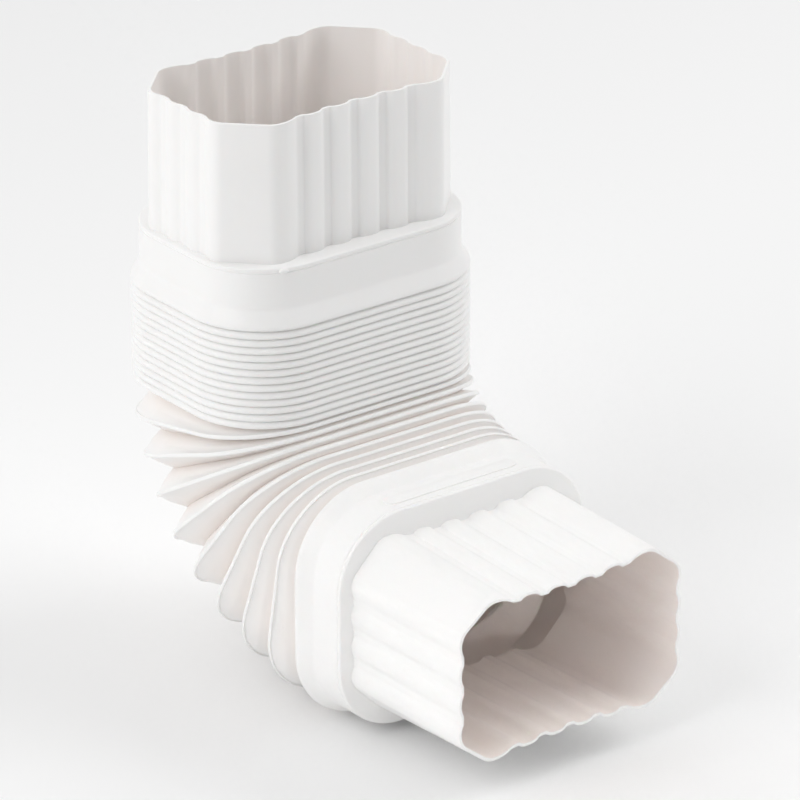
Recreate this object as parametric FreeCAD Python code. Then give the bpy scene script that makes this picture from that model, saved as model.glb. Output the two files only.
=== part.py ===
"""Flexible downspout elbow, moulded as one piece of white plastic.

A ribbed inlet socket at the top steps out to a collar and a flange. Below the flange the wall is folded into
a bellows: a stack of pleats pressed together, then a fan of open pleats that carries the duct through a right
angle, from straight down to straight out along +X. A second flange and collar step in again to the ribbed
outlet spigot. The origin is the centre of the inlet's mouth, +Z points up and the wide side lies along Y.
"""
import FreeCAD, Part
import math
import os

Vector = FreeCAD.Vector

# Inlet socket, outside sizes at its mouth
INLET_WIDTH = 83.0
INLET_DEPTH = 56.0
INLET_LENGTH = 41.3
INLET_CORNER = 12.0
INLET_DRAFT = 0.4

# Outlet spigot, stepped in from the socket's root and narrowing to its mouth
OUTLET_LENGTH = 48.0
OUTLET_STEP = 2.2
OUTLET_TAPER_X = 1.8
OUTLET_TAPER_Y = 0.4

# Ribs and grooves along the sides of both ends: rounded ribs between flat grooves inside the corner line
WIDE_GROOVE_COUNT = 5
NARROW_GROOVE_COUNT = 2
GROOVE_INSET = 2.3
GROOVE_WIDTH = 2.6
RIB_BULGE = 0.8

# Walls
END_WALL = 1.4
FOLD_WALL = 1.0

# Collars and flanges, alike at both ends
LEDGE_X = 3.6
LEDGE_Y = 1.0
LEDGE_CLEARANCE = 0.45
COLLAR_EDGE = 0.6
COLLAR_LENGTH = 10.0
SHOULDER_LENGTH = 4.2
FLANGE_STEP = 2.6
FLANGE_LAND = 3.7

# Pleats: the crest of each has a narrow land whose upstream edge is set back, like a weatherboard
STACK_PLEATS = 13
FAN_PLEATS = 8
BEND_ANGLE = 90.0
PLEAT_DEPTH = 7.0
CREST_LAND = 1.4
CREST_SETBACK = 0.35
ROOT_LAND = 1.0
CORNER_FACETS = 6
FLATNESS = 1e-6

# Gaps between neighbouring crests: in the stack, and on the inner side of the bend at its start and end
STACK_GAP = 0.87
BEND_START_GAP = 0.45
BEND_END_GAP = 2.5

# Plain oblong panel on top of the lower collar
PANEL_LENGTH = 42.0
PANEL_WIDTH = 5.0
PANEL_RELIEF = 0.4
PANEL_BACK_MARGIN = 1.0


class RoundSection:
    """A rounded rectangle across the duct, its corners drawn with a few flat facets each."""

    def __init__(self, half_x, half_y, radius):
        self.half_x = half_x
        self.half_y = half_y
        self.radius = radius

    def inset(self, distance):
        """Return the section that lies a constant distance inside this one."""
        return RoundSection(self.half_x - distance, self.half_y - distance, self.radius - distance)

    def points(self, place):
        """Return the outline's points at a place along the duct, anticlockwise from the middle of +X."""
        flat_x = self.half_x - self.radius
        flat_y = self.half_y - self.radius
        centres = ((flat_x, flat_y), (-flat_x, flat_y), (-flat_x, -flat_y), (flat_x, -flat_y))
        outline = []
        for quarter, (centre_x, centre_y) in enumerate(centres):
            for facet in range(CORNER_FACETS + 1):
                turn = math.radians(90.0 * (quarter + facet / CORNER_FACETS))
                outline.append(Vector(centre_x + self.radius * math.cos(turn),
                                      centre_y + self.radius * math.sin(turn), 0))
        return [place.multVec(point) for point in outline]


class RibbedSection:
    """A rectangle with cut corners and ribbed sides, as at the mouths of the two ends."""

    def __init__(self, half_x, half_y, cut_x, cut_y):
        self.half_x = half_x
        self.half_y = half_y
        self.cut_x = cut_x
        self.cut_y = cut_y

    def widened(self, gain_x, gain_y):
        """Return the section with its sides moved outwards, each as long as before."""
        return RibbedSection(self.half_x + gain_x, self.half_y + gain_y,
                             self.cut_x + gain_x, self.cut_y + gain_y)

    def inset(self, distance):
        """Return the section of the wall's inner face, with the same wall at the cut corners."""
        cut_loss = distance * (1 - math.tan(math.radians(22.5)))
        return RibbedSection(self.half_x - distance, self.half_y - distance,
                             self.cut_x - cut_loss, self.cut_y - cut_loss)

    def sides(self):
        """Return the start, end and number of grooves of each side, anticlockwise from +X."""
        flat_x = self.half_x - self.cut_x
        flat_y = self.half_y - self.cut_y
        return (
            (Vector(self.half_x, -flat_y, 0), Vector(self.half_x, flat_y, 0), WIDE_GROOVE_COUNT),
            (Vector(flat_x, self.half_y, 0), Vector(-flat_x, self.half_y, 0), NARROW_GROOVE_COUNT),
            (Vector(-self.half_x, flat_y, 0), Vector(-self.half_x, -flat_y, 0), WIDE_GROOVE_COUNT),
            (Vector(-flat_x, -self.half_y, 0), Vector(flat_x, -self.half_y, 0), NARROW_GROOVE_COUNT),
        )

    def side_edges(self, place):
        """Return the rib arcs and groove lines of the four sides at a place along the duct."""
        sides = []
        for start, end, grooves in self.sides():
            along = (end - start).normalize()
            inward = Vector(-along.y, along.x, 0)
            pitch = (end - start).Length / (grooves + 1)
            banks = [start]
            for index in range(1, grooves + 1):
                bottom = start + along * (pitch * index) + inward * GROOVE_INSET
                banks += [bottom - along * (GROOVE_WIDTH / 2), bottom + along * (GROOVE_WIDTH / 2)]
            banks.append(end)
            edges = []
            for index, (first, second) in enumerate(zip(banks[:-1], banks[1:])):
                if index % 2:
                    edges.append(Part.LineSegment(place.multVec(first), place.multVec(second)).toShape())
                else:
                    crown = (first + second) * 0.5 - inward * RIB_BULGE
                    rib = [place.multVec(point) for point in (first, crown, second)]
                    edges.append(Part.Arc(*rib).toShape())
            sides.append(edges)
        return sides

    def side_ends(self, place):
        """Return the first and last point of each side at a place along the duct."""
        return [(place.multVec(start), place.multVec(end)) for start, end, grooves in self.sides()]

    def wire(self, place):
        """Return the closed outline at a place along the duct."""
        edges = []
        ends = self.side_ends(place)
        for index, side in enumerate(self.side_edges(place)):
            edges += side
            following = ends[(index + 1) % len(ends)][0]
            edges.append(Part.LineSegment(ends[index][1], following).toShape())
        return Part.Wire(edges)


def ledge_radius():
    """Return the largest corner radius of the ledge that clears the ends of the socket's cut corners."""
    reach = INLET_CORNER + INLET_DRAFT + LEDGE_X
    half_sum = reach + LEDGE_Y - LEDGE_CLEARANCE
    return half_sum + math.sqrt(half_sum ** 2 - reach ** 2 - LEDGE_Y ** 2 + LEDGE_CLEARANCE ** 2)


# Sections along the duct, each stepped from the one before it
inlet_mouth = RibbedSection(INLET_DEPTH / 2, INLET_WIDTH / 2, INLET_CORNER, INLET_CORNER)
inlet_root = inlet_mouth.widened(INLET_DRAFT, INLET_DRAFT)
outlet_root = inlet_root.widened(-OUTLET_STEP, -OUTLET_STEP)
outlet_mouth = outlet_root.widened(-OUTLET_TAPER_X, -OUTLET_TAPER_Y)
ledge = RoundSection(inlet_root.half_x + LEDGE_X, inlet_root.half_y + LEDGE_Y, ledge_radius())
collar = ledge.inset(-COLLAR_EDGE)
collar_inside = collar.inset(END_WALL)
crest = collar.inset(-FLANGE_STEP)
crest_inside = crest.inset(FOLD_WALL)
flange_inside = crest.inset(END_WALL)
root = crest.inset(PLEAT_DEPTH)
root_inside = root.inset(FOLD_WALL)

# Heights down the straight upper run
collar_top = -INLET_LENGTH
collar_bottom = collar_top - COLLAR_LENGTH
flange_top = collar_bottom - SHOULDER_LENGTH
flange_bottom = flange_top - FLANGE_LAND
stack_pitch = CREST_LAND + STACK_GAP
bend_start = flange_bottom - STACK_PLEATS * stack_pitch + CREST_LAND / 2

# The bend is a quarter ellipse whose inner side leaves the crests their gaps
fan_step = BEND_ANGLE / (FAN_PLEATS + 1)
bend_drop = crest.half_x + (CREST_LAND + BEND_START_GAP) / math.radians(fan_step)
bend_reach = crest.half_x + (CREST_LAND + BEND_END_GAP) / math.radians(fan_step)

# Lengths along the straight lower run, from the end of the bend
lower_flange_front = FLANGE_LAND
lower_collar_back = lower_flange_front + SHOULDER_LENGTH
lower_collar_front = lower_collar_back + COLLAR_LENGTH
outlet_end = lower_collar_front + OUTLET_LENGTH


def upper_place(height):
    """Return the place of a section across the straight upper run."""
    return FreeCAD.Placement(Vector(0, 0, height), FreeCAD.Rotation())


def bend_place(turn, along=0.0):
    """Return the place of a section that has turned through the bend, then moved on along the duct."""
    angle = math.radians(turn)
    downstream = Vector(math.sin(angle), 0, -math.cos(angle))
    centre = Vector(bend_reach * (1 - math.cos(angle)), 0, bend_start - bend_drop * math.sin(angle))
    return FreeCAD.Placement(centre + downstream * along, FreeCAD.Rotation(Vector(0, 1, 0), -turn))


def lower_place(along):
    """Return the place of a section across the straight lower run."""
    return bend_place(BEND_ANGLE, along)


def pleat_places():
    """Return the places of the pleats' roots and crests as pairs of functions of an offset along the duct.

    Each pair is one root and the crest that follows it. The last root, before the lower flange, stands alone.
    """
    pairs = []
    for index in range(STACK_PLEATS):
        root_height = flange_bottom - index * stack_pitch - STACK_GAP / 2
        crest_height = root_height - (STACK_GAP + CREST_LAND) / 2
        pairs.append((lambda along, height=root_height: upper_place(height - along),
                      lambda along, height=crest_height: upper_place(height - along)))
    for index in range(FAN_PLEATS):
        root_turn = (index + 0.5) * fan_step
        crest_turn = (index + 1.0) * fan_step
        pairs.append((lambda along, turn=root_turn: bend_place(turn, along),
                      lambda along, turn=crest_turn: bend_place(turn, along)))
    return pairs


def last_root_place(along):
    """Return the place of the root between the last free crest and the lower flange."""
    return bend_place((FAN_PLEATS + 0.5) * fan_step, along)


def outer_rings():
    """Return the outlines of the collars, flanges and pleats on the outside, from top to end."""
    rings = [
        ledge.points(upper_place(collar_top)),
        collar.points(upper_place(collar_top - COLLAR_EDGE)),
        collar.points(upper_place(collar_bottom)),
        crest.points(upper_place(flange_top)),
        crest.points(upper_place(flange_bottom)),
    ]
    for root_at, crest_at in pleat_places():
        rings.append(root.points(root_at(0)))
        rings.append(crest.inset(CREST_SETBACK).points(crest_at(-CREST_LAND / 2)))
        rings.append(crest.points(crest_at(CREST_LAND / 2)))
    rings += [
        root.points(last_root_place(0)),
        crest.points(lower_place(0)),
        crest.points(lower_place(lower_flange_front)),
        collar.points(lower_place(lower_collar_back)),
        collar.points(lower_place(lower_collar_front - COLLAR_EDGE)),
        ledge.points(lower_place(lower_collar_front)),
    ]
    return rings


def inner_rings():
    """Return the outlines of the wall's inner face, from the upper ledge to the lower one."""
    rings = [
        collar_inside.points(upper_place(collar_top - END_WALL)),
        collar_inside.points(upper_place(collar_bottom)),
        flange_inside.points(upper_place(flange_top)),
        flange_inside.points(upper_place(flange_bottom + FOLD_WALL)),
    ]
    for root_at, crest_at in pleat_places():
        rings.append(root_inside.points(root_at(-ROOT_LAND / 2)))
        rings.append(root_inside.points(root_at(ROOT_LAND / 2)))
        rings.append(crest_inside.points(crest_at(0)))
    rings += [
        root_inside.points(last_root_place(-ROOT_LAND / 2)),
        root_inside.points(last_root_place(ROOT_LAND / 2)),
        flange_inside.points(lower_place(FOLD_WALL)),
        flange_inside.points(lower_place(lower_flange_front)),
        collar_inside.points(lower_place(lower_collar_back)),
        collar_inside.points(lower_place(lower_collar_front - END_WALL)),
    ]
    return rings


def flat_face(*points):
    """Return the flat face inside a closed run of points."""
    return Part.Face(Part.makePolygon([*points, points[0]]))


def strip_faces(a, b, c, d):
    """Return one flat face with the four corners, or two triangles split on the shorter diagonal."""
    normal = (c - a).cross(b - d).normalize()
    if abs(normal.dot(b - a)) < FLATNESS:
        return [flat_face(a, b, c, d)]
    if (c - a).Length < (d - b).Length:
        return [flat_face(a, b, c), flat_face(a, c, d)]
    return [flat_face(a, b, d), flat_face(b, c, d)]


def folded_faces(rings):
    """Return the faces between following outlines."""
    faces = []
    for upstream, downstream in zip(rings[:-1], rings[1:]):
        for index in range(len(upstream)):
            previous = index - 1
            faces += strip_faces(upstream[previous], upstream[index], downstream[index], downstream[previous])
    return faces


def ribbed_faces(first_section, first_place, last_section, last_place):
    """Return the faces of a ribbed end: each side drawn out along its own slope, and the cut corners."""
    faces = []
    first_ends = first_section.side_ends(first_place)
    last_ends = last_section.side_ends(last_place)
    for index, side in enumerate(first_section.side_edges(first_place)):
        slope = last_ends[index][0] - first_ends[index][0]
        faces += [edge.extrude(slope) for edge in side]
        previous = index - 1
        faces += strip_faces(first_ends[previous][1], first_ends[index][0],
                             last_ends[index][0], last_ends[previous][1])
    return faces


def face_between(outline, hole):
    """Return the flat face between two outlines in one plane."""
    return Part.makeFace([outline, hole], "Part::FaceMakerBullseye")


def ring_wire(points):
    """Return the closed wire through an outline's points."""
    return Part.makePolygon([*points, points[0]])


def duct():
    """Return the elbow's wall as one closed solid, from mouth to mouth."""
    inlet_inner = inlet_mouth.inset(END_WALL)
    inlet_inner_root = inlet_root.inset(END_WALL)
    outlet_inner = outlet_mouth.inset(END_WALL)
    outlet_inner_root = outlet_root.inset(END_WALL)
    mouth = upper_place(0)
    upper_ledge = upper_place(collar_top)
    upper_soffit = upper_place(collar_top - END_WALL)
    end = lower_place(outlet_end)
    lower_ledge = lower_place(lower_collar_front)
    lower_soffit = lower_place(lower_collar_front - END_WALL)
    outside = outer_rings()
    inside = inner_rings()

    faces = folded_faces(outside) + folded_faces(inside)
    faces += ribbed_faces(inlet_mouth, mouth, inlet_root, upper_ledge)
    faces += ribbed_faces(inlet_inner, mouth, inlet_inner_root, upper_soffit)
    faces += ribbed_faces(outlet_root, lower_ledge, outlet_mouth, end)
    faces += ribbed_faces(outlet_inner_root, lower_soffit, outlet_inner, end)
    faces += [
        face_between(inlet_mouth.wire(mouth), inlet_inner.wire(mouth)),
        face_between(ring_wire(outside[0]), inlet_root.wire(upper_ledge)),
        face_between(ring_wire(inside[0]), inlet_inner_root.wire(upper_soffit)),
        face_between(ring_wire(outside[-1]), outlet_root.wire(lower_ledge)),
        face_between(ring_wire(inside[-1]), outlet_inner_root.wire(lower_soffit)),
        face_between(outlet_mouth.wire(end), outlet_inner.wire(end)),
    ]
    shell = Part.makeShell(faces)
    shell.sewShape()
    solid = Part.makeSolid(shell)
    if solid.Volume < 0:
        solid.reverse()
    return solid


def panel():
    """Return the plain oblong panel, sunk half a wall into the top of the lower collar."""
    radius = PANEL_WIDTH / 2
    straight = PANEL_LENGTH / 2 - radius
    back_edge = lower_collar_back + PANEL_BACK_MARGIN
    centre = lower_place(back_edge + radius).Base
    bottom = centre.z + collar.half_x - END_WALL / 2
    height = END_WALL / 2 + PANEL_RELIEF
    bar = Part.makeBox(PANEL_WIDTH, 2 * straight, height, Vector(centre.x - radius, -straight, bottom))
    ends = [Part.makeCylinder(radius, height, Vector(centre.x, side * straight, bottom)) for side in (-1, 1)]
    return bar.multiFuse(ends).removeSplitter()


elbow = duct().fuse(panel())
os.makedirs("parts", exist_ok=True)
elbow.exportStep("parts/elbow_body.step")
print("elbow_body valid", elbow.isValid(), "solids", len(elbow.Solids), "volume", round(elbow.Volume, 1))
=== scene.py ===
"""Looks of a flexible downspout elbow: one white moulding with ribbed ends and a pleated bend.

The wall is swept from a profile that runs along the duct, then each level of the bend is turned into place.
The ribbed ends are drawn out from their outlines and joined to the swept wall, so the moulding is one closed
mesh.
"""
import logging
import math
from collections.abc import Callable
from dataclasses import dataclass, field, replace
from enum import Enum

import bmesh
import bpy
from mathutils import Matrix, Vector


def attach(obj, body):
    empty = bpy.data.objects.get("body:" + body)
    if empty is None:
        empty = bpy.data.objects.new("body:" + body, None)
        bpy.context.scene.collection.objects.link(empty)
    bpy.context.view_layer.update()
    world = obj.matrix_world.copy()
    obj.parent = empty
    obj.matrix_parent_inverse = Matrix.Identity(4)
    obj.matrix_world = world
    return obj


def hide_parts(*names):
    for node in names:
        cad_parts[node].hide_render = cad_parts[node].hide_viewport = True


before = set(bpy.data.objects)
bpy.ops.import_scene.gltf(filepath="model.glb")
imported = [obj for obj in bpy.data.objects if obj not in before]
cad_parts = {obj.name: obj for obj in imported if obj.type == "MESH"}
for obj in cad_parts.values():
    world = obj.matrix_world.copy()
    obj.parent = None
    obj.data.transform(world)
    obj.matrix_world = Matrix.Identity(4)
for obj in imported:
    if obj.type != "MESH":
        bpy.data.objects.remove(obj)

LOG = logging.getLogger("downspout_elbow")
MM = 0.001
NEAR = 0.01 * MM
BODY = "root"
NODE = "elbow_body"
PAINTED_GLOW = "painted_glow"
ORIGIN = (0.0, 0.0, 0.0)

# A side and a cut corner of the ribbed ends meet at this angle in degrees.
CUT_ANGLE = 45.0

# Colour sockets of the mix node go by index, because its other types share their names.
MIX_FIRST, MIX_SECOND, MIX_RESULT = 6, 7, 2


class Run(Enum):
    """The stretch of the duct that a level of the wall lies on."""

    UPPER = "straight run below the inlet"
    BEND = "quarter turn"
    LOWER = "straight run before the outlet"


@dataclass(frozen=True)
class Sizes:
    """Sizes of the moulding in millimetres and degrees.

    The outline is the CAD source's. Collars, shoulders, roundings, rims and the panel are drawn finer here.
    """

    inlet_width: float = 83.0
    inlet_depth: float = 56.0
    inlet_length: float = 41.3
    inlet_corner: float = 12.0
    inlet_draft: float = 0.4
    outlet_length: float = 48.0
    outlet_step: float = 2.2
    outlet_taper_x: float = 1.8
    outlet_taper_y: float = 0.4
    corner_round: float = 2.2
    rim_wall: float = 1.0
    end_wall: float = 1.4
    fold_wall: float = 1.0
    stack_bore: float = 2.3
    crest_half_x: float = 35.2
    crest_half_y: float = 46.1
    crest_radius: float = 23.9
    collar_inset: float = 2.6
    collar_length: float = 12.2
    shoulder_length: float = 4.6
    flange_land: float = 1.1
    stack_pleats: int = 13
    fan_pleats: int = 8
    bend_angle: float = 90.0
    pleat_depth: float = 7.0
    crest_land: float = 1.4
    root_land: float = 1.0
    stack_gap: float = 0.87
    bend_start_gap: float = 0.45
    bend_end_gap: float = 2.5
    panel_length: float = 46.0
    panel_width: float = 5.0
    panel_relief: float = 0.4
    panel_back_margin: float = 3.2

    @property
    def collar_top(self) -> float:
        """Height of the ledge round the socket's root."""
        return -self.inlet_length

    @property
    def collar_bottom(self) -> float:
        """Height where the collar's wall ends."""
        return self.collar_top - self.collar_length

    @property
    def flange_top(self) -> float:
        """Height where the shoulder meets the flange."""
        return self.collar_bottom - self.shoulder_length

    @property
    def flange_bottom(self) -> float:
        """Height of the flange's lower edge."""
        return self.flange_top - self.flange_land

    @property
    def stack_pitch(self) -> float:
        """Distance between neighbouring crests of the stack."""
        return self.crest_land + self.stack_gap

    @property
    def bend_start(self) -> float:
        """Height where the duct starts to turn."""
        return self.flange_bottom - self.stack_pleats * self.stack_pitch + self.crest_land / 2

    @property
    def fan_step(self) -> float:
        """Turn between neighbouring crests of the fan."""
        return self.bend_angle / (self.fan_pleats + 1)

    @property
    def bend_drop(self) -> float:
        """How far the duct's axis sinks in the bend."""
        return self.crest_half_x + (self.crest_land + self.bend_start_gap) / math.radians(self.fan_step)

    @property
    def bend_reach(self) -> float:
        """How far the duct's axis moves out in the bend."""
        return self.crest_half_x + (self.crest_land + self.bend_end_gap) / math.radians(self.fan_step)

    @property
    def lower_axis(self) -> float:
        """Height of the outlet's axis."""
        return self.bend_start - self.bend_drop

    @property
    def lower_collar_front(self) -> float:
        """Distance from the end of the bend to the ledge round the spigot's root."""
        return self.flange_land + self.shoulder_length + self.collar_length


SIZES = Sizes()


@dataclass(frozen=True)
class Level:
    """One level of the wall: where it lies along the duct and how far inside the crest line.

    Attributes:
        run: The stretch of the duct.
        at: Height on the upper run, turn in degrees in the bend, or distance along the lower run.
        inset: Distance inside the crest line in millimetres.
        along: A further shift along the duct in millimetres.
        bend_inset: Distance inside the crest line on the inner side of the bend, where it differs.
        painted_glow: How strongly a painted glow, a warmer, lighter tone standing in for light that has
            passed through the wall, is mixed into the plastic's colour, from 0 to 1.
    """

    run: Run
    at: float
    inset: float
    along: float = 0.0
    bend_inset: float | None = None
    painted_glow: float = 0.0

    def turn(self) -> float:
        """Find how far the level is turned.

        Returns:
            The turn in radians.
        """
        if self.run is Run.UPPER:
            return 0.0
        return math.radians(self.at if self.run is Run.BEND else SIZES.bend_angle)

    def centre(self) -> Vector:
        """Find the level's centre.

        Returns:
            The centre in millimetres.
        """
        angle = self.turn()
        downstream = Vector((math.sin(angle), 0.0, -math.cos(angle)))
        if self.run is Run.UPPER:
            return Vector((0.0, 0.0, self.at)) + downstream * self.along
        shift = self.along if self.run is Run.BEND else self.at + self.along
        start = Vector((SIZES.bend_reach * (1 - math.cos(angle)), 0.0,
                        SIZES.bend_start - SIZES.bend_drop * math.sin(angle)))
        return start + downstream * shift


class EditMesh:
    """A mesh object that is modelled in edit mode."""

    def __init__(self, name: str, piece: bpy.types.Object | None = None) -> None:
        """Make or take up the object and enter edit mode.

        Args:
            name: Name of the object to make.
            piece: An object to go on with instead of a new one.
        """
        self.object = piece
        if piece is None:
            self.object = bpy.data.objects.new(name, bpy.data.meshes.new(name))
            bpy.context.collection.objects.link(self.object)
        bpy.ops.object.select_all(action="DESELECT")
        bpy.context.view_layer.objects.active = self.object
        self.object.select_set(True)
        bpy.ops.object.mode_set(mode="EDIT")
        bpy.ops.mesh.select_mode(type="VERT")

    def close(self) -> bpy.types.Object:
        """Leave edit mode.

        Returns:
            The finished object.
        """
        bpy.ops.object.mode_set(mode="OBJECT")
        return self.object

    def select_vertices(self, test: Callable[[bmesh.types.BMVert], bool]) -> set[int]:
        """Select only the vertices that pass a test.

        Args:
            test: Function of the vertex.

        Returns:
            Indices of the selected vertices.
        """
        bpy.ops.mesh.select_mode(type="VERT")
        bpy.ops.mesh.select_all(action="DESELECT")
        work = bmesh.from_edit_mesh(self.object.data)
        work.verts.index_update()
        found = [vertex for vertex in work.verts if test(vertex)]
        for vertex in found:
            vertex.select = True
        work.select_flush(True)
        bmesh.update_edit_mesh(self.object.data)
        return {vertex.index for vertex in found}

    def select_edges(self, test: Callable[[bmesh.types.BMEdge], bool]) -> int:
        """Select only the edges that pass a test.

        Args:
            test: Function of the edge.

        Returns:
            How many edges are selected.
        """
        bpy.ops.mesh.select_mode(type="EDGE")
        bpy.ops.mesh.select_all(action="DESELECT")
        work = bmesh.from_edit_mesh(self.object.data)
        found = [edge for edge in work.edges if test(edge)]
        for edge in found:
            edge.select_set(True)
        bmesh.update_edit_mesh(self.object.data)
        return len(found)

    def extrude(self, shift: Vector) -> set[int]:
        """Extrude what is selected.

        Args:
            shift: The move in metres.

        Returns:
            Indices of the new vertices, which stay selected.
        """
        bpy.ops.mesh.extrude_region_move(TRANSFORM_OT_translate={"value": shift})
        work = bmesh.from_edit_mesh(self.object.data)
        work.verts.index_update()
        return {vertex.index for vertex in work.verts if vertex.select}


def mark_painted_glow(piece: bpy.types.Object, painted_glow: dict[int, float]) -> None:
    """Store the painted glow of each vertex, a tint standing in for light through the wall, as an attribute
    that the plastic reads.

    Args:
        piece: The mesh object.
        painted_glow: Painted glow by vertex index, 0 where a vertex isn't named.
    """
    layer = piece.data.attributes.new(PAINTED_GLOW, "FLOAT", "POINT")
    layer.data.foreach_set("value", [painted_glow.get(index, 0.0) for index in range(len(piece.data.vertices))])


@dataclass
class SweptWall:
    """One face of the duct's wall, swept round the rounded rectangle from a profile along the duct.

    Attributes:
        name: Name of the mesh object.
        levels: The profile, from the upper ledge to the lower one.
        corner_steps: Segments in each rounded corner.
        far: Height in metres of the place where the profile is drawn before its levels are seated.
        level_reach: Distance from a level's height, in millimetres, within which a vertex belongs to it.
    """

    name: str
    levels: list[Level]
    corner_steps: int = 18
    far: float = -1.0
    level_reach: float = 0.4

    def level_height(self, index: int) -> float:
        """Return the height in metres at which a level is drawn before it is seated."""
        return self.far - index * MM

    def build(self) -> bpy.types.Object:
        """Draw the profile, sweep it round the section and seat each level.

        Returns:
            The open wall as a mesh object.
        """
        work = EditMesh(self.name)
        self._draw_profile()
        self._sweep()
        painted_glow = self._seat(work)
        LOG.info("%s: %d levels", self.name, len(self.levels))
        wall = work.close()
        mark_painted_glow(wall, painted_glow)
        return wall

    def _profile_point(self, index: int) -> Vector:
        """Find where a level of the profile is drawn.

        Args:
            index: Number of the level.

        Returns:
            The place in metres.
        """
        half_x = SIZES.crest_half_x - self.levels[index].inset
        flat_y = SIZES.crest_half_y - SIZES.crest_radius
        return Vector((half_x * MM, flat_y * MM, self.level_height(index)))

    def _draw_profile(self) -> None:
        """Draw the profile as a run of edges at the start of the first rounded corner."""
        here = self._profile_point(0)
        bpy.ops.mesh.primitive_plane_add(size=MM, location=here)
        bpy.ops.mesh.merge(type="CENTER")
        for index in range(1, len(self.levels)):
            there = self._profile_point(index)
            bpy.ops.mesh.extrude_region_move(TRANSFORM_OT_translate={"value": there - here})
            here = there

    def _sweep(self) -> None:
        """Turn the profile round each corner and draw it along each side."""
        flat_x = (SIZES.crest_half_x - SIZES.crest_radius) * MM
        flat_y = (SIZES.crest_half_y - SIZES.crest_radius) * MM
        corners = ((flat_x, flat_y), (-flat_x, flat_y), (-flat_x, -flat_y), (flat_x, -flat_y))
        bpy.ops.mesh.select_all(action="SELECT")
        for index, (x, y) in enumerate(corners):
            centre = (x, y, self.far)
            bpy.ops.mesh.spin(steps=self.corner_steps, angle=-math.pi / 2, center=centre, axis=(0, 0, 1))
            next_x, next_y = corners[(index + 1) % len(corners)]
            bpy.ops.mesh.extrude_region_move(TRANSFORM_OT_translate={"value": (next_x - x, next_y - y, 0.0)})
        bpy.ops.mesh.select_all(action="SELECT")
        bpy.ops.mesh.remove_doubles(threshold=NEAR)

    def _seat(self, work: EditMesh) -> dict[int, float]:
        """Move each level to its place along the duct.

        Args:
            work: The swept wall in edit mode.

        Returns:
            Painted glow by vertex index.
        """
        painted_glow = {}
        for index, level in enumerate(self.levels):
            height = self.level_height(index)
            drawn = Vector((0.0, 0.0, height))
            ring = work.select_vertices(lambda vertex: abs(vertex.co.z - height) < self.level_reach * MM)
            # Each level hands its share of the painted glow to its vertices.
            painted_glow.update(dict.fromkeys(ring, level.painted_glow))
            if level.bend_inset is not None:
                half = SIZES.crest_half_x - level.inset
                reach = 1 + (level.inset - level.bend_inset) / (2 * half)
                bpy.ops.transform.resize(value=(reach, 1.0, 1.0), center_override=(-half * MM, 0.0, height))
            if level.turn():
                bpy.ops.transform.rotate(value=level.turn(), orient_axis="Y", center_override=drawn)
            bpy.ops.transform.translate(value=level.centre() * MM - drawn)
        return painted_glow


def arc_points(steps: int, radius: float) -> list[tuple[float, float]]:
    """Return points of a quarter round as shifts along and inwards, from flat ledge to upright wall.

    Args:
        steps: Segments of the quarter.
        radius: Radius in millimetres.

    Returns:
        Pairs of the distance below the ledge and the distance inside the wall.
    """
    points = []
    for step in range(steps + 1):
        angle = math.pi / 2 * step / steps
        points.append((radius * (1 - math.cos(angle)), radius * (1 - math.sin(angle))))
    return points


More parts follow.
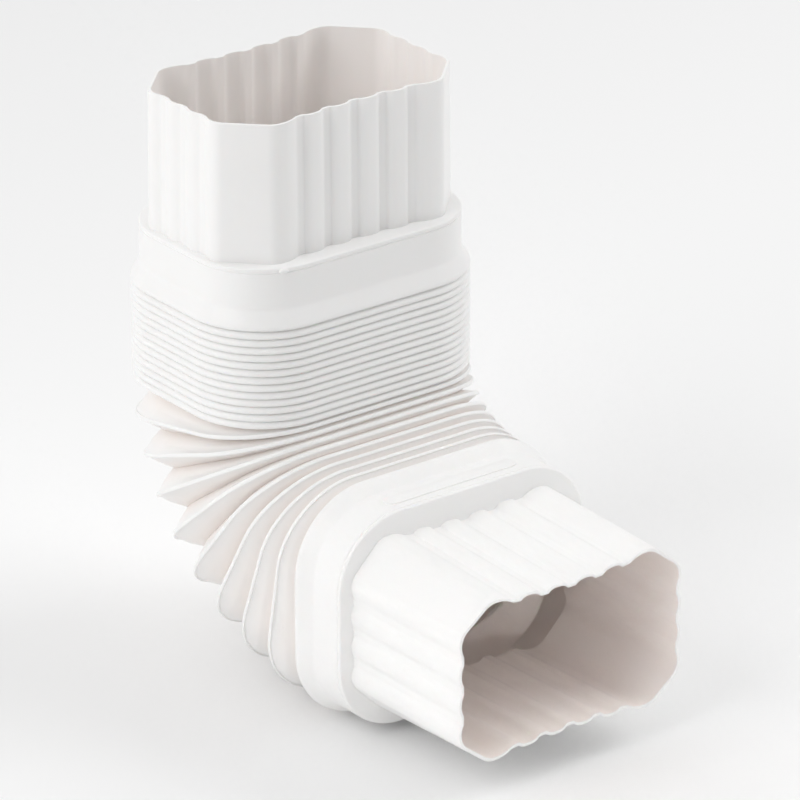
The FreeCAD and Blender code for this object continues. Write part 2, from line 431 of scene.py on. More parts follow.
@dataclass
class Bellows:
    """Profile of the outer and inner wall between the two ledges.

    Attributes:
        collar_round: Radius of the collars' outer edge.
        collar_steps: Segments of that edge.
        bead_width: Distance from the ledge to the fine line behind the collars' edge.
        bead_line: Section of that line as shifts along the duct and insets.
        flange_round: Radius of the flanges' edge next to the pleats.
        flange_steps: Segments of that edge.
        crease_round: Half length of the rounded crease at each end of the shoulder.
        fold_bulge: How far the free folds bulge outwards from flat.
        stack_pleat: Rounded edge of a pressed pleat as shifts along the duct and insets.
        stack_valley: Depth at which pressed pleats touch.
        fan_crest: Crest of an open pleat as shifts along the duct and insets.
        root: Root between two open pleats as shifts along the duct and heights above its bottom.
        pressed_depths: Depth of the first and last root on the pressed, inner side of the bend.
        root_painted_glow: Painted warm tint in the roots of open pleats, standing in for light scattered
            through the wall in the crevices.
        fold_painted_glow: The same painted tint, weaker, half way up the open folds.
    """

    collar_round: float = 0.6
    collar_steps: int = 4
    bead_width: float = 1.3
    bead_line: tuple[tuple[float, float], ...] = ((-0.15, 0.0), (0.0, 0.22), (0.15, 0.22), (0.3, 0.0))
    flange_round: float = 0.6
    flange_steps: int = 3
    crease_round: float = 0.7
    fold_bulge: float = 0.5
    stack_pleat: tuple[tuple[float, float], ...] = (
        (-0.98, 0.86), (-0.82, 0.52), (-0.58, 0.24), (-0.28, 0.07), (0.05, 0.00),
        (0.38, 0.04), (0.66, 0.20), (0.88, 0.48), (1.00, 0.82),
    )
    stack_valley: float = 1.3
    fan_crest: tuple[tuple[float, float], ...] = (
        (-0.52, 0.62), (-0.60, 0.34), (-0.48, 0.15), (-0.10, 0.04), (0.28, 0.00),
        (0.50, 0.05), (0.62, 0.20), (0.61, 0.40), (0.52, 0.62),
    )
    root: tuple[tuple[float, float], ...] = ((-0.16, 0.35), (0.0, 0.0), (0.16, 0.35))
    pressed_depths: tuple[float, float] = (1.4, 3.6)
    root_painted_glow: float = 0.7
    fold_painted_glow: float = 0.3

    def collar_levels(self) -> list[tuple[float, float]]:
        """Draw the outer profile of a collar, its shoulder and flange.

        Returns:
            Pairs of the distance from the ledge and the inset.
        """
        crease = [part * self.crease_round for part in (-1.0, -0.5, 0.0, 0.5, 1.0)]
        collar_edge = arc_points(self.collar_steps, self.collar_round)
        points = [(along, SIZES.collar_inset + inward) for along, inward in collar_edge]
        points += [(self.bead_width + along, SIZES.collar_inset + inward) for along, inward in self.bead_line]
        slope = SIZES.collar_inset / SIZES.shoulder_length
        shoulder_end = SIZES.collar_length + SIZES.shoulder_length
        for shift in crease:
            rise = slope * (shift + self.crease_round) ** 2 / (4 * self.crease_round)
            points.append((SIZES.collar_length + shift, SIZES.collar_inset - rise))
        for shift in crease:
            fall = slope * (self.crease_round - shift) ** 2 / (4 * self.crease_round)
            points.append((shoulder_end + shift, fall))
        total = shoulder_end + SIZES.flange_land
        flange_edge = arc_points(self.flange_steps, self.flange_round)
        points += [(total - along, inward) for along, inward in reversed(flange_edge)]
        return points

    def pressed_depth(self, turn: float) -> float:
        """Find how deep a root is on the inner side of the bend.

        Args:
            turn: Its turn in degrees.

        Returns:
            The depth in millimetres.
        """
        first, last = self.pressed_depths
        return first + (last - first) * turn / SIZES.bend_angle

    def fan_root(self, turn: float) -> list[Level]:
        """Draw a root between two open pleats.

        Args:
            turn: Its turn in degrees.

        Returns:
            The root's levels.
        """
        pressed = self.pressed_depth(turn)
        # Roots of the open pleats carry a painted warm tint, standing in for light scattered through the wall
        # in the crevices.
        return [Level(Run.BEND, turn, SIZES.pleat_depth - rise, along, pressed - rise, self.root_painted_glow)
                for along, rise in self.root]

    def fan_fold(self, turn: float) -> Level:
        """Draw the middle of an open fold, where it bulges.

        Args:
            turn: Its turn in degrees.

        Returns:
            The level half way up the fold.
        """
        middle = SIZES.pleat_depth / 2 - self.fold_bulge
        # The middle of each fold carries a weaker share of that painted tint.
        return Level(Run.BEND, turn, middle, 0.0, self.pressed_depth(turn) / 2, self.fold_painted_glow)

    def outer(self) -> list[Level]:
        """Draw the profile of the outer wall.

        Returns:
            Its levels, from the upper ledge to the lower one.
        """
        levels = [Level(Run.UPPER, SIZES.collar_top - along, inset) for along, inset in self.collar_levels()]
        for index in range(SIZES.stack_pleats):
            valley_height = SIZES.flange_bottom - index * SIZES.stack_pitch - SIZES.stack_gap / 2
            levels.append(Level(Run.UPPER, valley_height, self.stack_valley))
            crest_height = valley_height - SIZES.stack_pitch / 2
            levels += [Level(Run.UPPER, crest_height, inset, along) for along, inset in self.stack_pleat]
        for index in range(SIZES.fan_pleats):
            crest_turn = (index + 1.0) * SIZES.fan_step
            levels += self.fan_root(crest_turn - SIZES.fan_step / 2)
            levels.append(self.fan_fold(crest_turn - SIZES.fan_step / 4))
            levels += [Level(Run.BEND, crest_turn, inset, along) for along, inset in self.fan_crest]
            levels.append(self.fan_fold(crest_turn + SIZES.fan_step / 4))
        levels += self.fan_root((SIZES.fan_pleats + 0.5) * SIZES.fan_step)
        front = SIZES.lower_collar_front
        levels += [Level(Run.LOWER, front - along, inset) for along, inset in reversed(self.collar_levels())]
        return levels

    def inner(self) -> list[Level]:
        """Draw the profile of the inner wall.

        Returns:
            Its levels, from the upper ledge to the lower one.
        """
        collar = SIZES.collar_inset + SIZES.end_wall
        root = SIZES.pleat_depth + SIZES.fold_wall
        half_land = SIZES.root_land / 2
        levels = [
            Level(Run.UPPER, SIZES.collar_top - SIZES.end_wall, collar),
            Level(Run.UPPER, SIZES.collar_bottom, collar),
            Level(Run.UPPER, SIZES.flange_top, SIZES.end_wall),
            Level(Run.UPPER, SIZES.flange_bottom + SIZES.fold_wall / 2, SIZES.end_wall),
        ]
        for index in range(SIZES.stack_pleats):
            root_height = SIZES.flange_bottom - index * SIZES.stack_pitch - SIZES.stack_gap / 2
            levels += [Level(Run.UPPER, root_height, root, along) for along in (-half_land, half_land)]
            levels.append(Level(Run.UPPER, root_height - SIZES.stack_pitch / 2, SIZES.stack_bore))
        for index in range(SIZES.fan_pleats):
            root_turn = (index + 0.5) * SIZES.fan_step
            levels += [Level(Run.BEND, root_turn, root, along) for along in (-half_land, half_land)]
            levels.append(Level(Run.BEND, (index + 1.0) * SIZES.fan_step, SIZES.fold_wall))
        last_turn = (SIZES.fan_pleats + 0.5) * SIZES.fan_step
        levels += [Level(Run.BEND, last_turn, root, along) for along in (-half_land, half_land)]
        levels += [
            Level(Run.LOWER, SIZES.fold_wall / 2, SIZES.end_wall),
            Level(Run.LOWER, SIZES.flange_land, SIZES.end_wall),
            Level(Run.LOWER, SIZES.flange_land + SIZES.shoulder_length, collar),
            Level(Run.LOWER, SIZES.lower_collar_front - SIZES.end_wall, collar),
        ]
        # Every level of the inner wall carries the full painted glow, a tint standing in for light that
        # passes through the wall.
        return [replace(level, painted_glow=1.0) for level in levels]


@dataclass(frozen=True)
class Ribs:
    """Rounded ribs between flat grooves across one side of an end, counted in equal steps from its middle.

    Attributes:
        steps: Steps across half the side.
        grooves: Steps at which a groove has its middle.
        depth: Depth of the grooves below the ribs' crowns.
        dish: How far the crowns in the middle of the side lie inside the corner line.
        groove_half: Steps in half a groove's flat bottom.
        bank: Power of the ribs' rounding, higher for flatter crowns and steeper banks.
        dish_reach: Share of the side over which the crowns are dished.
    """

    steps: int
    grooves: tuple[int, ...]
    depth: float
    dish: float
    groove_half: int = 2
    bank: float = 3.0
    dish_reach: float = 0.93

    def inset(self, step: int) -> float:
        """Return how far a point of the side lies inside the corner line.

        Args:
            step: Steps from the side's middle.

        Returns:
            The distance in millimetres.
        """
        crown = self.dish * max(0.0, 1 - (step / (self.dish_reach * self.steps)) ** 2)
        return crown + self.depth * self._sink(step)

    def _sink(self, step: int) -> float:
        """Find how far a point of the side lies below the crowns.

        Args:
            step: Steps from the side's middle.

        Returns:
            A share of the grooves' depth, from 0 on a crown to 1 in a groove.
        """
        if min(abs(step - groove) for groove in self.grooves) <= self.groove_half:
            return 1.0
        left = max((groove + self.groove_half for groove in self.grooves if groove < step), default=0)
        right = min((groove - self.groove_half for groove in self.grooves if groove > step), default=None)
        if right is None:
            return ((self.steps - step) / (self.steps - left)) ** self.bank
        return abs(2 * (step - left) / (right - left) - 1) ** self.bank


@dataclass
class RibbedEnd:
    """A ribbed tube with rounded cut corners, drawn with its root at height zero and its mouth above.

    Attributes:
        name: Name of the mesh object.
        half_x: Half the outside depth at the root.
        half_y: Half the outside width at the root.
        cut: Size of the cut corners at the root.
        length: Distance from root to mouth.
        taper_x: How far the wide sides close in towards the mouth.
        taper_y: How far the narrow sides close in towards the mouth.
        rim_round: Radius of the mouth's edges.
        rim_ease: Share of that radius by which the middle of its rounding stands off.
        corner_steps: Segments in each rounded edge of the cut corners.
        corner_reach: Share of that edge's radius within which a vertex belongs to it.
        wide: Ribs of the wide sides.
        narrow: Ribs of the narrow sides.
        painted_glow: Strength of the painted glow on the inner wall, a tint that stands in for light passing
            through the wall.
    """

    name: str
    half_x: float
    half_y: float
    cut: float
    length: float
    taper_x: float
    taper_y: float
    rim_round: float = 0.3
    rim_ease: float = 0.3
    corner_steps: int = 5
    corner_reach: float = 1.02
    wide: Ribs = Ribs(42, (0, 15, 30), 1.2, 1.5)
    narrow: Ribs = Ribs(21, (0, 14), 0.8, 0.0, bank=2.0)
    painted_glow: float = 1.0

    def build(self) -> bpy.types.Object:
        """Draw the outer wall up, the rim across and the inner wall down again.

        Returns:
            The tube, open at its root.
        """
        work = EditMesh(self.name)
        bpy.ops.mesh.primitive_plane_add(size=2.0)
        bpy.ops.transform.resize(value=(self.half_x * MM, self.half_y * MM, 1.0), center_override=ORIGIN)
        bpy.ops.mesh.bevel(offset=self.cut * MM, segments=1, affect="VERTICES")
        bpy.ops.mesh.bevel(offset=SIZES.corner_round * MM, segments=self.corner_steps, affect="VERTICES")
        bpy.ops.mesh.delete(type="ONLY_FACE")
        self._rib(work, self.half_x, self.half_y - self.cut, self.wide, 0)
        self._rib(work, self.half_y, self.half_x - self.cut, self.narrow, 1)
        bpy.ops.mesh.select_all(action="SELECT")
        wall = SIZES.end_wall
        rim = SIZES.rim_wall
        edge = self.rim_round
        ease = self.rim_ease * edge
        steps = (
            (self.length - edge, 0.0, 1.0),
            (self.length - ease, ease, 1.0),
            (self.length, edge, 1.0),
            (self.length, rim - edge, 1.0),
            (self.length - ease, rim - ease, 1.0),
            (self.length - edge, rim, 1.0),
            (-wall, wall, 0.0),
        )
        height, inset, taper = 0.0, 0.0, 0.0
        inside = set()
        for next_height, next_inset, next_taper in steps:
            loop = work.extrude(Vector((0.0, 0.0, (next_height - height) * MM)))
            closing = next_inset - inset
            narrowing = next_taper - taper
            drawing = (closing + narrowing * self.taper_x, closing + narrowing * self.taper_y)
            self._draw_in(work, loop, closing, drawing, inset, taper)
            work.select_vertices(lambda vertex: vertex.index in loop)
            if next_inset >= rim:
                inside |= loop
            height, inset, taper = next_height, next_inset, next_taper
        tube = work.close()
        # The inner wall of each end carries the painted glow, a tint standing in for light that passes
        # through the wall.
        mark_painted_glow(tube, dict.fromkeys(inside, self.painted_glow))
        return tube

    def _rib(self, work: EditMesh, half: float, flat: float, ribs: Ribs, axis: int) -> None:
        """Draw the ribs of two facing sides into the outline at the root.

        Args:
            work: The outline in edit mode.
            half: Half the distance between the sides.
            flat: Half the length of each side between its cut corners.
            ribs: The ribs to draw.
            axis: Axis across which the sides face each other.
        """
        reach = flat - SIZES.corner_round

        def on_side(vertex: bmesh.types.BMVert) -> bool:
            """Tell whether a vertex lies on one of the two sides."""
            return abs(abs(vertex.co[axis]) - half * MM) < NEAR

        work.select_edges(lambda edge: all(on_side(vertex) and abs(vertex.co[1 - axis]) < reach * MM + NEAR
                                           for vertex in edge.verts))
        bpy.ops.mesh.subdivide(number_cuts=2 * ribs.steps - 1)
        for step in range(ribs.steps):
            across = reach * step / ribs.steps
            work.select_vertices(lambda vertex: on_side(vertex)
                                 and abs(abs(vertex.co[1 - axis]) - across * MM) < NEAR)
            scale = [1.0, 1.0, 1.0]
            scale[axis] = 1 - ribs.inset(step) / half
            bpy.ops.transform.resize(value=scale, center_override=ORIGIN)

    def _draw_in(self, work: EditMesh, loop: set[int], closing: float, drawing: tuple[float, float],
                 inset: float, taper: float) -> None:
        """Draw in a new loop, with its sides, rounded corners and cut corners kept parallel.

        Args:
            work: The tube in edit mode.
            loop: Indices of the loop's vertices.
            closing: How far the wall moves inwards.
            drawing: How far the wide and the narrow sides move inwards, with the taper.
            inset: Inset of the loop before the move.
            taper: Share of the taper that the loop has before the move.
        """
        share = math.tan(math.radians(CUT_ANGLE / 2))
        halves = (self.half_x - inset - taper * self.taper_x, self.half_y - inset - taper * self.taper_y)
        flats = (self.half_x - self.cut - inset * share, self.half_y - self.cut - inset * share)
        mesh = bmesh.from_edit_mesh(work.object.data)
        places = {vertex.index: vertex.co.copy() for vertex in mesh.verts if vertex.index in loop}
        moves = []
        for axis in (0, 1):
            reach = flats[1 - axis] - SIZES.corner_round
            scale = [1.0, 1.0, 1.0]
            scale[1 - axis] = 1 - closing * share / reach
            for side in (-1, 1):
                shift = Vector((0.0, 0.0, 0.0))
                shift[axis] = -side * drawing[axis] * MM
                straight = {index for index, place in places.items()
                            if place[axis] * side > 0 and abs(place[1 - axis]) < reach * MM + 2 * NEAR}
                moves.append((straight, shift, scale))
                for end in (-1, 1):
                    corner = Vector((0.0, 0.0, 0.0))
                    corner[axis] = side * halves[axis] * MM
                    corner[1 - axis] = end * flats[1 - axis] * MM
                    near = {index for index, place in places.items() if index not in straight
                            and (place - corner).to_2d().length < self.corner_reach * SIZES.corner_round * MM}
                    swing = shift.copy()
                    swing[1 - axis] = -end * closing * share * MM
                    moves.append((near, swing, None))
        for group, shift, scale in moves:
            work.select_vertices(lambda vertex: vertex.index in group)
            bpy.ops.transform.translate(value=shift)
            if scale:
                bpy.ops.transform.resize(value=scale, center_override=ORIGIN)


@dataclass
class Elbow:
    """The whole moulding: swept outer and inner walls, a ribbed tube at each end and two small marks.

    Attributes:
        bellows: Profile of the swept walls.
        crease: Angle in degrees above which an edge is drawn sharp.
        inlet_painted_glow: Strength of the painted glow inside the inlet, weaker because the inlet is wide
            open to the light.
    """

    bellows: Bellows = field(default_factory=Bellows)
    crease: float = 40.0
    inlet_painted_glow: float = 0.5

    def build(self) -> bpy.types.Object:
        """Build the walls and ends and close them to one mesh.

        Returns:
            The elbow as one closed mesh object.
        """
        outer = SweptWall("elbow", self.bellows.outer()).build()
        inner = SweptWall("elbow_inner", self.bellows.inner()).build()
        half_x = SIZES.inlet_depth / 2 + SIZES.inlet_draft
        half_y = SIZES.inlet_width / 2 + SIZES.inlet_draft
        cut = SIZES.inlet_corner + SIZES.inlet_draft
        # The inlet's inside gets a weaker painted glow than the outlet's.
        inlet = RibbedEnd("inlet", half_x, half_y, cut, SIZES.inlet_length,
                          SIZES.inlet_draft, SIZES.inlet_draft, painted_glow=self.inlet_painted_glow).build()
        step = SIZES.outlet_step
        outlet = RibbedEnd("outlet", half_x - step, half_y - step, cut - step, SIZES.outlet_length,
                           SIZES.outlet_taper_x, SIZES.outlet_taper_y).build()
        self._seat(inlet, 0.0, Vector((0.0, 0.0, SIZES.collar_top)))
        front = SIZES.bend_reach + SIZES.lower_collar_front
        self._seat(outlet, -math.pi / 2, Vector((front, 0.0, SIZES.lower_axis)))
        bpy.ops.object.select_all(action="DESELECT")
        for piece in (inner, inlet, outlet, outer):
            piece.select_set(True)
        bpy.context.view_layer.objects.active = outer
        bpy.ops.object.join()
        self._close(outer)
        for mark in (Panel().build(), GateMark().build()):
            self._fuse(outer, mark)
        bpy.ops.object.shade_smooth_by_angle(angle=math.radians(self.crease))
        return outer

    def _fuse(self, piece: bpy.types.Object, mark: bpy.types.Object) -> None:
        """Unite a small mark with the moulding and remove its own object.

        Args:
            piece: The moulding.
            mark: The mark.
        """
        bpy.ops.object.select_all(action="DESELECT")
        bpy.context.view_layer.objects.active = piece
        piece.select_set(True)
        union = piece.modifiers.new(mark.name, "BOOLEAN")
        union.operation = "UNION"
        union.solver = "EXACT"
        union.object = mark
        bpy.ops.object.modifier_apply(modifier=union.name)
        bpy.data.objects.remove(mark)

    def _seat(self, piece: bpy.types.Object, turn: float, place: Vector) -> None:
        """Turn an end about Y and move its root to its place.

        Args:
            piece: The end.
            turn: The turn in radians.
            place: The place in millimetres.
        """
        work = EditMesh(piece.name, piece)
        bpy.ops.mesh.select_all(action="SELECT")
        if turn:
            bpy.ops.transform.rotate(value=turn, orient_axis="Y", center_override=ORIGIN)
        bpy.ops.transform.translate(value=place * MM)
        work.close()

    def _close(self, piece: bpy.types.Object) -> None:
        """Fill both ledges, outside and inside, and turn all faces outwards.

        Args:
            piece: The joined walls and ends.
        """
        work = EditMesh(piece.name, piece)
        front = SIZES.bend_reach + SIZES.lower_collar_front
        planes = (
            (2, SIZES.collar_top),
            (2, SIZES.collar_top - SIZES.end_wall),
            (0, front),
            (0, front - SIZES.end_wall),
        )
        for axis, place in planes:
            count = work.select_edges(lambda edge: edge.is_boundary and all(
                abs(vertex.co[axis] - place * MM) < NEAR for vertex in edge.verts))
            LOG.info("filling a ledge of %d edges at %.2f mm", count, place)
            bpy.ops.mesh.fill(use_beauty=True)
        bpy.ops.mesh.select_all(action="SELECT")
        bpy.ops.mesh.normals_make_consistent(inside=False)
        work.close()


@dataclass
class Panel:
    """The plain raised oblong on top of the lower collar.

    Attributes:
        edge_round: Radius of its upper edge.
        edge_steps: Segments of that edge.
        end_share: Radius of its round ends as a share of its width, under a half so that they don't meet.
        end_steps: Segments in each quarter of those ends.
    """

    edge_round: float = 0.15
    edge_steps: int = 2
    end_share: float = 0.499
    end_steps: int = 10

    def build(self) -> bpy.types.Object:
        """Draw the oblong out of a block.

        Returns:
            The panel, sunk half a wall into the collar.
        """
        work = EditMesh("collar_panel")
        sunk = SIZES.end_wall / 2
        height = sunk + SIZES.panel_relief
        along = SIZES.flange_land + SIZES.shoulder_length + SIZES.panel_back_margin + SIZES.panel_width / 2
        top = SIZES.lower_axis + SIZES.crest_half_x - SIZES.collar_inset + SIZES.panel_relief
        centre = Vector((SIZES.bend_reach + along, 0.0, top - height / 2)) * MM
        bpy.ops.mesh.primitive_cube_add(size=1.0, location=centre)
        size = Vector((SIZES.panel_width, SIZES.panel_length, height)) * MM
        bpy.ops.transform.resize(value=size, center_override=centre)
        work.select_edges(lambda edge: abs(edge.verts[0].co.z - edge.verts[1].co.z) > height / 2 * MM)
        end_round = self.end_share * SIZES.panel_width
        bpy.ops.mesh.bevel(offset=end_round * MM, segments=self.end_steps, affect="EDGES")
        # The upper edge is where the top face, whose normal points up, meets the sides.
        work.select_edges(lambda edge: all(vertex.co.z > centre.z for vertex in edge.verts)
                          and abs(sum(face.normal.z for face in edge.link_faces)) > 0.5)
        bpy.ops.mesh.bevel(offset=self.edge_round * MM, segments=self.edge_steps, affect="EDGES")
        return work.close()


@dataclass
class GateMark:
    """The small blob of plastic left on the upper collar's edge where the mould was filled.

    Attributes:
        angle: Its place on the collar's rounded corner, in degrees from the front.
        drop: Distance of its middle below the ledge.
        size: Half its size along each axis.
        segments: Segments round it.
        rings: Segments from its top to its bottom.
    """

    angle: float = 19.0
    drop: float = 0.9
    size: tuple[float, float, float] = (0.9, 1.7, 0.8)
    segments: int = 24
    rings: int = 14

    def build(self) -> bpy.types.Object:
        """Draw the blob out of a ball.

        Returns:
            The blob, half sunk into the collar's rounded edge.
        """
        radius = SIZES.crest_radius - SIZES.collar_inset - self.size[0] / 4
        turn = -math.radians(self.angle)
        centre = Vector((
            SIZES.crest_half_x - SIZES.crest_radius + radius * math.cos(turn),
            SIZES.crest_radius - SIZES.crest_half_y + radius * math.sin(turn),
            SIZES.collar_top - self.drop,
        )) * MM
        work = EditMesh("gate_mark")
        bpy.ops.mesh.primitive_uv_sphere_add(segments=self.segments, ring_count=self.rings, radius=MM,
                                             location=centre)
        bpy.ops.transform.resize(value=self.size, center_override=centre)
        return work.close()


def node_group(name: str, outputs: dict[str, str]) -> bpy.types.ShaderNodeTree:
    """Make a shader node group with a vector input.

    Args:
        name: Name of the group.
        outputs: Socket type of each output by its name.

    Returns:
        The group with its input and output nodes, not yet linked.
    """
    group = bpy.data.node_groups.new(name, "ShaderNodeTree")
    group.interface.new_socket("Vector", in_out="INPUT", socket_type="NodeSocketVector")
    for label, kind in outputs.items():
        group.interface.new_socket(label, in_out="OUTPUT", socket_type=kind)
    group.nodes.new("NodeGroupInput").name = "in"
    group.nodes.new("NodeGroupOutput").name = "out"
    return group


@dataclass(frozen=True)
class Plastic:
    """Satin white plastic that glows a little where light passes through the thin wall, with a painted glow
    added inside the duct: a warmer, lighter tone that stands in for that light.

    Attributes:
        name: Name of the material.
        light: Lighter tone of the mottle.
        dark: Darker tone of the mottle.
        inner: Tone of the painted glow inside the duct, a warmer, lighter colour that stands in for light
            that has passed through the wall.
        smooth: Lowest roughness.
        rough: Highest roughness.
        glow: Share of the light that enters the wall.
        reach: How far red light travels in the wall, in metres.
        spread: How far red, green and blue light travel, as shares of that reach.
        refraction: Index of refraction.
        cloud_scale: Scale of the mottle.
        cloud_detail: Detail of the mottle.
        grain_scale: Scale of the fine grain left by the mould.
        grain_detail: Detail of that grain.
        grain_height: Height of that grain in metres.
        grain_strength: Strength of its bump.
    """

    name: str = "satin_white_plastic"
    light: tuple[float, float, float, float] = (0.93, 0.925, 0.92, 1.0)
    dark: tuple[float, float, float, float] = (0.90, 0.895, 0.885, 1.0)
    inner: tuple[float, float, float, float] = (0.975, 0.905, 0.865, 1.0)
    smooth: float = 0.34
    rough: float = 0.44
    glow: float = 0.06
    reach: float = 0.001
    spread: tuple[float, float, float] = (1.0, 0.62, 0.47)
    refraction: float = 1.46
    cloud_scale: float = 38.0
    cloud_detail: float = 4.0
    grain_scale: float = 260.0
    grain_detail: float = 2.0
    grain_height: float = 0.00015
    grain_strength: float = 0.25

    def build(self) -> bpy.types.Material:
        """Build the material.

        Returns:
            The material, ready to assign.
        """
        material = bpy.data.materials.new(self.name)
        material.use_nodes = True
        tree = material.node_tree
        shader = tree.nodes["Principled BSDF"]
        shader.subsurface_method = "RANDOM_WALK"
        shader.inputs["Subsurface Weight"].default_value = self.glow
        shader.inputs["Subsurface Radius"].default_value = self.spread
        shader.inputs["Subsurface Scale"].default_value = self.reach
        shader.inputs["IOR"].default_value = self.refraction
        place = tree.nodes.new("ShaderNodeTexCoord")
        for group, links in ((self._mottle_and_painted_glow(), {"Color": "Base Color", "Roughness": "Roughness"}),
                             (self._grain(), {"Normal": "Normal"})):
            node = tree.nodes.new("ShaderNodeGroup")
            node.node_tree = group
            tree.links.new(place.outputs["Object"], node.inputs["Vector"])
            for source, target in links.items():
                tree.links.new(node.outputs[source], shader.inputs[target])
        return material

    def _mottle_and_painted_glow(self) -> bpy.types.ShaderNodeTree:
        """Build the group that clouds the colour and roughness and paints a warm glow on the inside, standing
        in for light through the wall.

        Returns:
            The group, with outputs for colour and roughness.
        """
        group = node_group("plastic_mottle_and_painted_glow", {"Color": "NodeSocketColor", "Roughness": "NodeSocketFloat"})
        start, finish = group.nodes["in"], group.nodes["out"]
        clouds = group.nodes.new("ShaderNodeTexNoise")
        clouds.inputs["Scale"].default_value = self.cloud_scale
        clouds.inputs["Detail"].default_value = self.cloud_detail
        tone = group.nodes.new("ShaderNodeMix")
        tone.data_type = "RGBA"
        tone.inputs[MIX_FIRST].default_value = self.dark
        tone.inputs[MIX_SECOND].default_value = self.light
        painted_glow_mask = group.nodes.new("ShaderNodeAttribute")
        painted_glow_mask.attribute_name = PAINTED_GLOW
        # Painted glow: where vertices are marked, the colour is mixed towards a warmer, lighter inner tone
        # that stands in for light passing through the thin wall and bouncing inside the duct.
        painted_glow_mix = group.nodes.new("ShaderNodeMix")
        painted_glow_mix.data_type = "RGBA"
        painted_glow_mix.inputs[MIX_SECOND].default_value = self.inner
        gloss = group.nodes.new("ShaderNodeMapRange")
        gloss.inputs["To Min"].default_value = self.smooth
        gloss.inputs["To Max"].default_value = self.rough
        group.links.new(start.outputs["Vector"], clouds.inputs["Vector"])
        group.links.new(clouds.outputs["Fac"], tone.inputs["Factor"])
        group.links.new(clouds.outputs["Fac"], gloss.inputs["Value"])
        group.links.new(painted_glow_mask.outputs["Fac"], painted_glow_mix.inputs["Factor"])
        group.links.new(tone.outputs[MIX_RESULT], painted_glow_mix.inputs[MIX_FIRST])
        group.links.new(painted_glow_mix.outputs[MIX_RESULT], finish.inputs["Color"])
        group.links.new(gloss.outputs["Result"], finish.inputs["Roughness"])
        return group

    def _grain(self) -> bpy.types.ShaderNodeTree:
        """Build the group that gives the surface its fine grain.

        Returns:
            The group, with an output for the normal.
        """
        group = node_group("moulding_grain", {"Normal": "NodeSocketVector"})
        start, finish = group.nodes["in"], group.nodes["out"]
        ripple = group.nodes.new("ShaderNodeTexNoise")
        ripple.inputs["Scale"].default_value = self.grain_scale
        ripple.inputs["Detail"].default_value = self.grain_detail
        bump = group.nodes.new("ShaderNodeBump")
        bump.inputs["Strength"].default_value = self.grain_strength
        bump.inputs["Distance"].default_value = self.grain_height
        group.links.new(start.outputs["Vector"], ripple.inputs["Vector"])
        group.links.new(ripple.outputs["Fac"], bump.inputs["Height"])
        group.links.new(bump.outputs["Normal"], finish.inputs["Normal"])
        return group


@dataclass(frozen=True)
class Softbox:
    """A square area lamp aimed at the object.

    Attributes:
        name: Name of the lamp.
        place: Where it stands, in metres.
        size: Length of its side.
        power: Power in watts.
        aim: The point it is aimed at.
        spread: Full angle of its beam in degrees.
    """

    name: str
    place: tuple[float, float, float]
    size: float
    power: float
    aim: tuple[float, float, float] = (0.046, 0.0, -0.084)
    spread: float = 180.0

    def build(self) -> None:
        """Build the lamp."""
        data = bpy.data.lights.new(self.name, "AREA")
        data.size = self.size
        data.energy = self.power
        data.spread = math.radians(self.spread)
        lamp = bpy.data.objects.new(self.name, data)
        lamp.location = self.place
        lamp.rotation_euler = (Vector(self.place) - Vector(self.aim)).to_track_quat("Z", "Y").to_euler()
        bpy.context.scene.collection.objects.link(lamp)


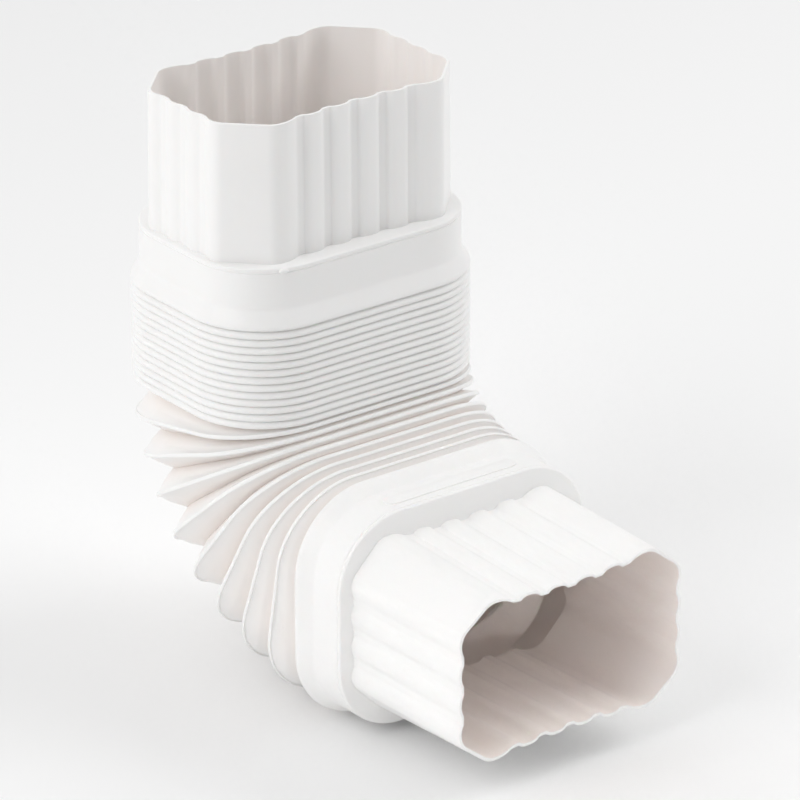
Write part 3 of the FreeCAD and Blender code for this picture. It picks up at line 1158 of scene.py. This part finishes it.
@dataclass
class Studio:
    """Pale floor, soft light from both sides and a camera at the photograph's angle.

    Attributes:
        azimuth: Direction of the camera in degrees.
        elevation: Height of the camera in degrees.
        distance: Distance of the camera from its target in metres.
        target: The point in the middle of the picture.
        lens: Focal length in millimetres.
        sensor: Width of the camera's sensor in millimetres.
        view_reach: Distance in metres to which the camera sees.
        floor_size: Length of the floor's side in metres.
        floor_height: Height of the floor.
        floor_tone: Brightness of the floor's colour.
        floor_rough: Roughness of the floor.
        sky: Strength of the light from all round.
        front: Strength of that light from straight ahead of the outlet.
        fade_end: How far towards the outlet's direction the light has fallen to that strength.
        lamps: The lamps.
    """

    azimuth: float = 52.3
    elevation: float = 23.7
    distance: float = 1.8
    target: tuple[float, float, float] = (0.0462, 0.0, -0.084)
    lens: float = 288.1
    sensor: float = 36.0
    view_reach: float = 20.0
    floor_size: float = 8.0
    floor_height: float = -0.1695
    floor_tone: float = 0.93
    floor_rough: float = 0.9
    sky: float = 0.82
    front: float = 0.22
    fade_end: float = 0.9
    lamps: tuple[Softbox, ...] = (
        Softbox("left_softbox", (0.1, -1.2, 0.8), 1.0, 7.0),
        Softbox("right_softbox", (0.55, 1.1, 0.85), 0.9, 7.0),
        Softbox("mouth_softbox", (0.88, -0.32, 0.06), 0.14, 0.01, (0.12, 0.0, -0.14), 9.0),
    )

    def build(self) -> None:
        """Build the studio round the object."""
        scene = bpy.context.scene
        scene.view_settings.view_transform = "Standard"
        self._camera(scene)
        self._floor()
        for lamp in self.lamps:
            lamp.build()
        self._sky(scene)

    def _sky(self, scene: bpy.types.Scene) -> None:
        """Light the scene from all round, less from straight ahead of the outlet.

        Args:
            scene: The scene.
        """
        world = bpy.data.worlds.new("studio")
        scene.world = world
        world.use_nodes = True
        tree = world.node_tree
        backdrop = tree.nodes["Background"]
        backdrop.inputs["Color"].default_value = (1.0, 1.0, 1.0, 1.0)
        place = tree.nodes.new("ShaderNodeTexCoord")
        parts = tree.nodes.new("ShaderNodeSeparateXYZ")
        level = tree.nodes.new("ShaderNodeMapRange")
        level.interpolation_type = "SMOOTHSTEP"
        level.inputs["From Min"].default_value = 0.0
        level.inputs["From Max"].default_value = self.fade_end
        level.inputs["To Min"].default_value = self.sky
        level.inputs["To Max"].default_value = self.front
        tree.links.new(place.outputs["Generated"], parts.inputs["Vector"])
        tree.links.new(parts.outputs["X"], level.inputs["Value"])
        tree.links.new(level.outputs["Result"], backdrop.inputs["Strength"])

    def _camera(self, scene: bpy.types.Scene) -> None:
        """Place the camera and make it the scene's own.

        Args:
            scene: The scene.
        """
        azimuth = math.radians(self.azimuth)
        elevation = math.radians(self.elevation)
        back = Vector((math.sin(azimuth) * math.cos(elevation), -math.cos(azimuth) * math.cos(elevation),
                       math.sin(elevation)))
        data = bpy.data.cameras.new("camera")
        data.lens = self.lens
        data.sensor_width = self.sensor
        data.clip_end = self.view_reach
        camera = bpy.data.objects.new("camera", data)
        camera.location = Vector(self.target) + back * self.distance
        camera.rotation_euler = back.to_track_quat("Z", "Y").to_euler()
        scene.collection.objects.link(camera)
        scene.camera = camera

    def _floor(self) -> None:
        """Lay the floor and name it."""
        bpy.ops.mesh.primitive_plane_add(size=self.floor_size, location=(0.0, 0.0, self.floor_height))
        floor = bpy.context.active_object
        floor.name = "floor"
        material = bpy.data.materials.new("floor")
        material.use_nodes = True
        shader = material.node_tree.nodes["Principled BSDF"]
        shader.inputs["Base Color"].default_value = (self.floor_tone, self.floor_tone, self.floor_tone, 1.0)
        shader.inputs["Roughness"].default_value = self.floor_rough
        floor.data.materials.append(material)


def main() -> None:
    """Build the elbow, its finish and the studio."""
    logging.basicConfig(level=logging.INFO)
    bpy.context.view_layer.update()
    elbow = Elbow().build()
    elbow.data.materials.clear()
    elbow.data.materials.append(Plastic().build())
    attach(elbow, BODY)
    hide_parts(NODE)
    LOG.info("%s: %d faces", elbow.name, len(elbow.data.polygons))
    Studio().build()


if __name__ == "__main__":
    main()
